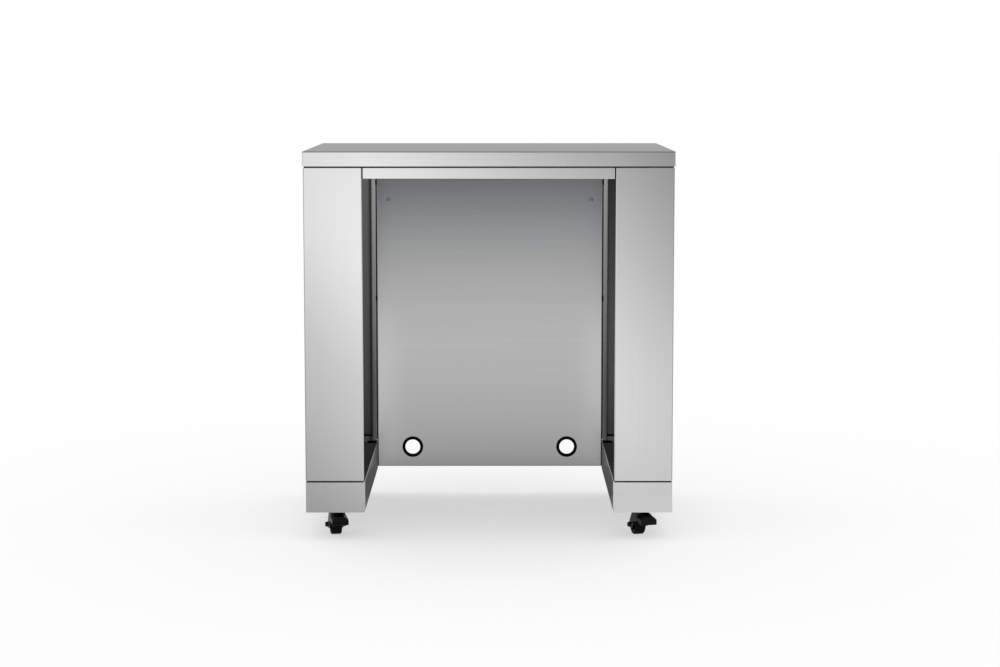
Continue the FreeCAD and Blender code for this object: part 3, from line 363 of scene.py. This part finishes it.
def black_surface(name, tones, roughness, pebbles, depth, specular):
    """A black finish with pebbles of so many cells per metre and so deep, dulled by dust."""
    material, tree, shader = new_material(name)
    place = object_place(tree)
    pebble = noise(tree, place, pebbles, PEBBLE_DETAIL)
    dust = noise(tree, place, **DUST_NOISE)
    dark, light = [grey(tone) for tone in tones]
    feed_all(tree, shader, {
        "Base Color": ramp_colour(tree, mixed(tree, pebble, dust, DUST_SHARE), dark, light, DUST_RANGE),
        "Roughness": remap(tree, dust, *roughness),
        "Specular IOR Level": specular,
    })
    bumped(tree, shader, pebble, PEBBLE_BUMP, depth)
    return material


PLATED = fastener_steel("zinc_plated_steel", PLATED_DARK, PLATED_LIGHT, PLATED_ROUGHNESS)
SATIN = fastener_steel("satin_stainless_screws", SATIN_DARK, SATIN_LIGHT, SATIN_ROUGHNESS)
RUBBER = black_surface("black_rubber_matt", tones=(0.003, 0.007), roughness=(0.60, 0.78),
                       pebbles=900.0, depth=0.3 * MM, specular=0.10)
PLASTIC = black_surface("black_plastic_moulded", tones=(0.003, 0.006), roughness=(0.18, 0.28),
                        pebbles=1500.0, depth=0.05 * MM, specular=0.12)
AXLE_BLACK = black_surface("black_axle_coating", tones=(0.006, 0.012), roughness=(0.35, 0.50),
                           pebbles=700.0, depth=0.2 * MM, specular=0.30)
SLOT_MATERIALS = {
    "plated_hardware": PLATED,
    "black_rubber": RUBBER,
    "black_plastic": PLASTIC,
    "black_caster_steel": black_zinc("black_caster_zinc"),
}

# Grain of each brushed sheet, and the way that the bends of some of them face, which get painted shade
GRAINS = {"countertop": ALONG_X, "header_rail": ALONG_X, "back_panel": ALONG_X}
SHADED_BEND_WAYS = {"countertop": ALONG_Z}
HIDDEN_STEEL = ["counter_stiffener", "back_stiffener", "pillar_spacers"]
for side, sign in SIDES.items():
    GRAINS |= {f"{side}_{part}_panel": ALONG_Z for part in ("front", "rear", "side")}
    GRAINS |= {f"{side}_plinth_skirt": ALONG_X, f"{side}_base_frame": ALONG_Y}
    SHADED_BEND_WAYS[f"{side}_front_panel"] = (sign, 0.0, 0.0)
    HIDDEN_STEEL += [f"{side}_{part}" for part in ("counter_support", "header_bracket", "base_plate")]

# A height above the bases, from which the whole top of a base frame counts as its plain side
ABOVE_BASES = 0.30


def plain_side(name):
    """A point on the plain side of a folded sheet: the middle of its box, or above it for a base frame."""
    low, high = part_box(name)
    middle = [(a + b) / 2.0 for a, b in zip(low, high)]
    if name.endswith("base_frame"):
        middle[2] = ABOVE_BASES
    return middle


def dress(name, material):
    NODES[name].material_slots[0].material = material


def dress_nodes():
    for name, node in NODES.items():
        slot = node.data.materials[0].name.split(".")[0]
        if slot in SLOT_MATERIALS:
            dress(name, SLOT_MATERIALS[slot])
    for name, grain in GRAINS.items():
        dress(name, brushed_steel(f"brushed_steel_{name}", grain, plain_side(name), SHADED_BEND_WAYS.get(name)))
    for caster in CASTERS:
        dress(f"{caster}_axle", AXLE_BLACK)
    dress("tie_screws", SATIN)
    mill = mill_steel("mill_steel")
    for name in HIDDEN_STEEL:
        dress(name, mill)


# Edges of the pieces beside the open joints, on the right side, from the frame
COUNTER_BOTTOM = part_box("countertop")[0][2]
PILLAR_INNER, PILLAR_FRONT, PILLAR_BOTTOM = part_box("right_front_panel")[0]
PILLAR_OUTER, PILLAR_REAR, PILLAR_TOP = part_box("right_rear_panel")[1]
REAR_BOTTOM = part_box("right_rear_panel")[0][2]
HEADER_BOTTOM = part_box("header_rail")[0][2]
HEADER_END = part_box("header_rail")[1][0]
PANEL_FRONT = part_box("back_panel")[0][1]
PANEL_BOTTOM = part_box("back_panel")[0][2]
PANEL_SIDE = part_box("back_panel")[1][0]
SKIRT_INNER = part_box("right_plinth_skirt")[0][0]
SKIRT_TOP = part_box("right_plinth_skirt")[1][2]
FRAME_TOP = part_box("right_base_frame")[1][2]

# Black gaskets that go round a pillar from its inner side, partly real and partly painted shade in the open
# joints
Seal = namedtuple("Seal", "inner outer depth thickness low high")
RINGS = {
    "counter_seal": Seal(
        inner=PILLAR_INNER + 0.2 * MM, outer=PILLAR_OUTER - 2.0 * MM, depth=PILLAR_REAR - 2.0 * MM,
        thickness=1.5 * MM, low=PILLAR_TOP, high=COUNTER_BOTTOM),
    "base_seal": Seal(
        inner=PILLAR_INNER + 0.2 * MM, outer=PILLAR_OUTER - 1.5 * MM, depth=PILLAR_REAR - 1.3 * MM,
        thickness=1.0 * MM, low=FRAME_TOP, high=PILLAR_BOTTOM - 0.2 * MM),
}

# Upright black strips beside the bay, painted shade in the gaps there, and the heights of the spacers whose
# heads show there as black strips that also paint their shade
SPACER_HEADS = {"middle": 0.5315, "upper": 0.8440}
SPACER_HALF = 7.0 * MM
STRIPS = {
    "back_seal": Seal(
        inner=PANEL_SIDE, outer=PILLAR_INNER, depth=PILLAR_REAR - 1.8 * MM,
        thickness=1.4 * MM, low=REAR_BOTTOM, high=PILLAR_TOP - 2.0 * MM),
    "foot_seal": Seal(
        inner=PANEL_SIDE - 2.0 * MM, outer=SKIRT_INNER - 0.1 * MM, depth=PANEL_FRONT - 1.0 * MM,
        thickness=1.0 * MM, low=PANEL_BOTTOM + 0.5 * MM, high=SKIRT_TOP + 10.0 * MM),
    "header_seal": Seal(
        inner=HEADER_END, outer=PILLAR_INNER + 0.1 * MM, depth=PILLAR_FRONT + 0.8 * MM,
        thickness=1.0 * MM, low=HEADER_BOTTOM, high=PILLAR_TOP),
}
for spot, height in SPACER_HEADS.items():
    STRIPS[f"{spot}_spacer_head"] = Seal(
        inner=PANEL_SIDE - 1.0 * MM, outer=PILLAR_INNER + 0.8 * MM, depth=PANEL_FRONT - 1.2 * MM,
        thickness=1.2 * MM, low=height - SPACER_HALF, high=height + SPACER_HALF)

# Rounding of a seal's outer edges, as shares of its height and of its thickness
BEAD_HEIGHT = 0.2
BEAD_DEPTH = 0.35


def shade_seal(name, path, thickness, low, high):
    """A soft black strip, partly a gasket and partly painted shade in a joint, that stands on a flat path
    between two heights, its outer face on the path.
    """
    points = [Vector((x, y, 0.0)) for x, y in path]
    ways = [(end - start).normalized() for start, end in zip(points, points[1:])]
    normals = [Vector((-way.y, way.x, 0.0)) for way in ways]
    bead = (high - low) * BEAD_HEIGHT
    edge = thickness * BEAD_DEPTH
    section = [(edge, low), (0.0, low + bead), (0.0, high - bead), (edge, high)]
    section += [(thickness, high), (thickness, low)]
    count = len(section)
    corners = []
    for point, before, after in zip(points, normals[:1] + normals, normals + normals[-1:]):
        normal = (before + after) / 2.0
        offset = normal / normal.length_squared
        corners += [point + offset * depth + Vector((0.0, 0.0, height)) for depth, height in section]
    faces = [tuple(range(count)), tuple(reversed(range(len(corners) - count, len(corners))))]
    for start in range(0, len(corners) - count, count):
        for corner in range(count):
            a, b = start + corner, start + (corner + 1) % count
            faces.append((b, a, a + count, b + count))
    piece = mesh_object(name, corners, faces)
    piece.data.materials.append(RUBBER)
    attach(piece, "cabinet")


def seals():
    """The black strips of both sides and the two between, gaskets and painted shade in the joints, each path
    with the hidden face on its left.
    """
    for side, sign in SIDES.items():
        turn = int(sign)
        for name, (inner, outer, depth, *size) in RINGS.items():
            path = [(inner, -depth), (outer, -depth), (outer, depth), (inner, depth)]
            shade_seal(f"{side}_{name}", [(sign * x, y) for x, y in path][::turn], *size)
        for name, (inner, outer, depth, *size) in STRIPS.items():
            path = [(inner, depth), (outer, depth)]
            shade_seal(f"{side}_{name}", [(sign * x, y) for x, y in path][::turn], *size)
    _, _, depth, *size = RINGS["counter_seal"]
    shade_seal("header_counter_seal", [(-PILLAR_INNER, -depth), (PILLAR_INNER, -depth)], *size)
    shade_seal("rear_counter_seal", [(PILLAR_INNER, depth), (-PILLAR_INNER, depth)], *size)


# Pale floor, which is white to the camera and in reflections and keeps the shadow
FLOOR_WHITE = 0.48
FLOOR_SPAN = (-30.0, 30.0)


def floor():
    piece = rectangle("floor", FLOOR_SPAN, FLOOR_SPAN, (0.0, 0.0))
    material, tree, shader = new_material("floor_white")
    rays = add_node(tree, "ShaderNodeLightPath").outputs
    seen = rays["Is Camera Ray"]
    for kind in ("Is Glossy Ray", "Is Transmission Ray"):
        seen = number(tree, "MAXIMUM", seen, rays[kind])
    feed_all(tree, shader, {
        "Base Color": grey(FLOOR_WHITE),
        "Roughness": 1.0,
        "Specular IOR Level": 0.0,
        "Emission Color": grey(1.0),
        "Emission Strength": number(tree, "MULTIPLY", seen, 1.0 - FLOOR_WHITE),
    })
    piece.data.materials.append(material)


def world_light():
    world = bpy.data.worlds.new("studio")
    bpy.context.scene.world = world
    world.use_nodes = True
    background = world.node_tree.nodes["Background"]
    feed_all(world.node_tree, background, {"Color": grey(1.0), "Strength": 1.0})


# Tones of the studio's cards, as linear values at places along a card's way, in metres. The cards are
# painted reflections: on the floor they paint a darker floor and the shadow under the cabinet, and inside
# the cabinet they paint reflections and shade onto its steel
COOL_MIDDLE = (0.445, 0.450, 0.455, 1.0)
COOL_SHADE = (0.278, 0.287, 0.296, 1.0)
COOL_DEEP = (0.120, 0.127, 0.135, 1.0)
REAR_TONES = ((0.0, 0.55), (0.35, 0.90), (0.60, 0.84), (0.95, 0.46), (1.05, 0.42), (1.70, 0.42))
SIDE_TONES = ((-0.30, 0.44), (0.0, 0.56), (0.40, 0.90), (0.60, 0.84), (1.0, 0.52), (1.60, 0.40), (2.0, 0.40))
FRONT_TONES = ((-0.20, 0.55), (-0.03, 0.72), (0.10, 0.81), (0.36, 1.11), (0.50, 1.11), (0.64, 1.0),
               (0.92, 0.67), (1.20, 0.40))
FRONT_FALL = ((-0.70, 0.75), (-0.45, 0.89), (-0.33, 1.0), (0.33, 0.81), (0.45, 0.705), (0.70, 0.61))
# Tones of cards on the floor, which paint a darker floor into reflections, and of the floor card, which
# paints the shadow under the cabinet
APRON_TONES = ((-0.45, 0.41), (0.45, 0.79))
SIDE_APRON_TONES = ((0.46, 0.40), (0.95, 0.60))
REAR_APRON_TONES = ((0.345, 0.40), (0.84, 0.60))
FLOOR_SHADOW_TONES = ((-0.30, 0.50), (-0.10, 0.27), (0.30, 0.08))
# The opening card paints the back panel's reflection, cooler and darker towards the top as painted shade
OPENING_TONES = ((0.0, 0.435), (0.18, 0.55), (0.34, 0.62), (0.49, 0.555), (0.62, COOL_MIDDLE),
                 (0.75, COOL_SHADE), (0.88, COOL_DEEP))
# Painted reflections and painted shade on the steel inside the pillars and at the back panel's sides
EDGE_SHADE_TONES = ((0.15, 0.60), (0.40, 0.50), (0.52, 0.30), (0.65, 0.10), (0.80, 0.03), (0.90, 0.03))
CORNER_REFLECTION_TONES = ((0.0, 0.59), (0.18, 0.70), (0.34, 0.74), (0.45, 0.64))
LIP_REFLECTION_TONES = ((0.15, 0.09), (0.30, 0.105), (0.55, 0.235), (0.90, 0.40))
SLOT_SHADE_TONES = ((0.15, 0.02), (0.90, 0.03))
RECESS_SHADE_TONES = {
    "left": ((0.15, 0.066), (0.30, 0.122), (0.50, 0.175), (0.90, 0.26)),
    "right": ((0.15, 0.085), (0.30, 0.145), (0.50, 0.155), (0.65, 0.115), (0.90, 0.05)),
}


def at(place):
    return (place, place)


def both_ways(reach):
    return (-reach, reach)


# Cards that only reflections see: spans in metres, one tone or several along a way, and a fall along X
Card = namedtuple("Card", "across along up tones way fall one_sided", defaults=(ALONG_Z, None, False))
DIAGONAL = (0.535, 0.0, 0.845)
SLANTED = (0.0, 0.40, 0.92)
STUDIO_HEIGHT = (0.0, 1.70)
ON_FLOOR = at(0.001)
OPENING = at(-0.300)
RECESS = at(0.290)
RECESS_HEIGHT = (0.1425, 0.906)
CARDS = {
    "card_rear": Card(across=both_ways(1.30), along=at(0.85), up=STUDIO_HEIGHT, tones=REAR_TONES),
    "card_ceiling": Card(across=both_ways(4.0), along=(-4.0, 3.0), up=at(4.0), tones=0.45),
    "card_far_rear": Card(across=both_ways(4.0), along=at(3.0), up=(0.0, 4.0), tones=0.42),
    "card_rear_apron": Card(
        across=both_ways(0.46), along=(0.345, 0.84), up=ON_FLOOR, tones=REAR_APRON_TONES, way=ALONG_Y),
    "card_front": Card(
        across=both_ways(1.30), along=at(-0.82), up=STUDIO_HEIGHT,
        tones=FRONT_TONES, way=DIAGONAL, fall=FRONT_FALL),
    "card_apron": Card(
        across=both_ways(1.30), along=(-0.82, -0.335), up=ON_FLOOR, tones=APRON_TONES, way=ALONG_X),
    "card_opening": Card(across=both_ways(0.352), along=OPENING, up=(0.0, 0.90), tones=OPENING_TONES),
    # A painted shadow under the cabinet, seen only in reflections
    "card_floor": Card(
        across=both_ways(0.45), along=(-0.30, 0.34), up=ON_FLOOR, tones=FLOOR_SHADOW_TONES, way=ALONG_Y),
    # Painted shade low at the back, which the base frames reflect
    "card_low_rear": Card(across=both_ways(0.30), along=at(0.34), up=(0.0, 0.07), tones=0.08),
}

# Cards that stand on both sides, as they are on the right, and where the recess begins on each side; inside
# the pillars and beside the back panel they paint reflections, lighter on the lip, sill and corners, and
# painted shade in the slot, recess, well and base and on the back panel's sides
SIDE_WALL = Card(across=at(0.95), along=(-0.80, 0.84), up=STUDIO_HEIGHT, tones=SIDE_TONES, way=SLANTED)
SIDE_CARDS = {
    "apron": Card(
        across=(0.46, 0.95), along=(-0.33, 0.84), up=ON_FLOOR, tones=SIDE_APRON_TONES, way=ALONG_X),
    "lip": Card(across=(0.3035, 0.3165), along=RECESS, up=RECESS_HEIGHT, tones=LIP_REFLECTION_TONES),
    "edge": Card(across=(0.352, 0.430), along=OPENING, up=(0.15, 0.90), tones=EDGE_SHADE_TONES),
    "corner": Card(across=(0.285, 0.352), along=at(-0.298), up=(0.0, 0.45), tones=CORNER_REFLECTION_TONES),
    "base": Card(across=(0.270, 0.3025), along=at(0.3065), up=(0.072, 0.146), tones=0.09, one_sided=True),
    "well": Card(across=(0.305, 0.440), along=at(0.2895), up=(0.1425, 0.27), tones=0.03, one_sided=True),
    "sill": Card(across=(0.305, 0.440), along=(-0.300, 0.285), up=at(0.153), tones=0.55, one_sided=True),
}
RECESS_START = {"left": 0.326, "right": 0.3215}


def mirrored(shape, sign):
    """A card of the right side on the side of a sign, still facing the front or up."""
    across = sorted(sign * x for x in shape.across)
    return shape._replace(across=across, way=(sign * shape.way[0], *shape.way[1:]))


for side, sign in SIDES.items():
    start = RECESS_START[side]
    shapes = SIDE_CARDS | {
        "slot": Card(across=(0.3165, start), along=RECESS, up=RECESS_HEIGHT, tones=SLOT_SHADE_TONES),
        "recess": Card(across=(start, 0.430), along=RECESS, up=RECESS_HEIGHT, tones=RECESS_SHADE_TONES[side]),
    }
    CARDS[f"card_{side}"] = mirrored(SIDE_WALL, sign)
    CARDS |= {f"card_{side}_{place}": mirrored(shape, sign) for place, shape in shapes.items()}


def shade(tone):
    return grey(tone) if isinstance(tone, float) else tone


def tone_ramp(tree, value, tones):
    """The tone at a place in metres, straight between the given places."""
    start, end = tones[0][0], tones[-1][0]
    ramp = add_node(tree, "ShaderNodeValToRGB")
    stops = ramp.color_ramp.elements
    stops[0].color = shade(tones[0][1])
    stops[1].color = shade(tones[-1][1])
    for spot, tone in tones[1:-1]:
        stops.new((spot - start) / (end - start)).color = shade(tone)
    feed(tree, remap(tree, value, 0.0, 1.0, (start, end)), ramp.inputs["Fac"])
    return ramp.outputs["Color"]


def card(name, across, along, up, tones, way, fall, one_sided):
    """A glowing card that only reflections see, through which rays from behind pass if it is one-sided."""
    piece = rectangle(name, across, along, up)
    material, tree, shader = new_material(name)
    place = object_place(tree)
    strength = 1.0
    if isinstance(tones, float):
        glow = grey(tones)
    else:
        glow = tone_ramp(tree, vector(tree, "DOT_PRODUCT", place, way), tones)
    if fall:
        strength = tone_ramp(tree, vector(tree, "DOT_PRODUCT", place, ALONG_X), fall)
    feed_all(tree, shader, {
        "Base Color": grey(0.0),
        "Specular IOR Level": 0.0,
        "Emission Color": glow,
        "Emission Strength": strength,
    })
    if one_sided:
        behind = add_node(tree, "ShaderNodeNewGeometry").outputs["Backfacing"]
        feed(tree, number(tree, "SUBTRACT", 1.0, behind), shader.inputs["Alpha"])
    material.cycles.emission_sampling = "NONE"
    piece.data.materials.append(material)
    piece.visible_camera = False
    piece.visible_diffuse = False
    piece.visible_shadow = False


# Camera of the photograph, in metres and degrees, with its lens and sensor in millimetres
CAMERA_PLACE = (0.01685, -5.85587, 1.13129)
CAMERA_PITCH = 6.428
CAMERA_YAW = -0.102
CAMERA_LENS = 82.99
CAMERA_SENSOR = 36.0
CAMERA_REACH = 200.0


def camera():
    data = bpy.data.cameras.new("photo_camera")
    data.lens = CAMERA_LENS
    data.sensor_width = CAMERA_SENSOR
    data.clip_end = CAMERA_REACH
    piece = bpy.data.objects.new("photo_camera", data)
    piece.location = CAMERA_PLACE
    piece.rotation_euler = (math.radians(90.0 - CAMERA_PITCH), 0.0, math.radians(CAMERA_YAW))
    bpy.context.scene.collection.objects.link(piece)
    bpy.context.scene.camera = piece


bpy.context.scene.view_settings.view_transform = "Standard"
dress_nodes()
seals()
floor()
world_light()
for name, settings in CARDS.items():
    card(name, *settings)
camera()
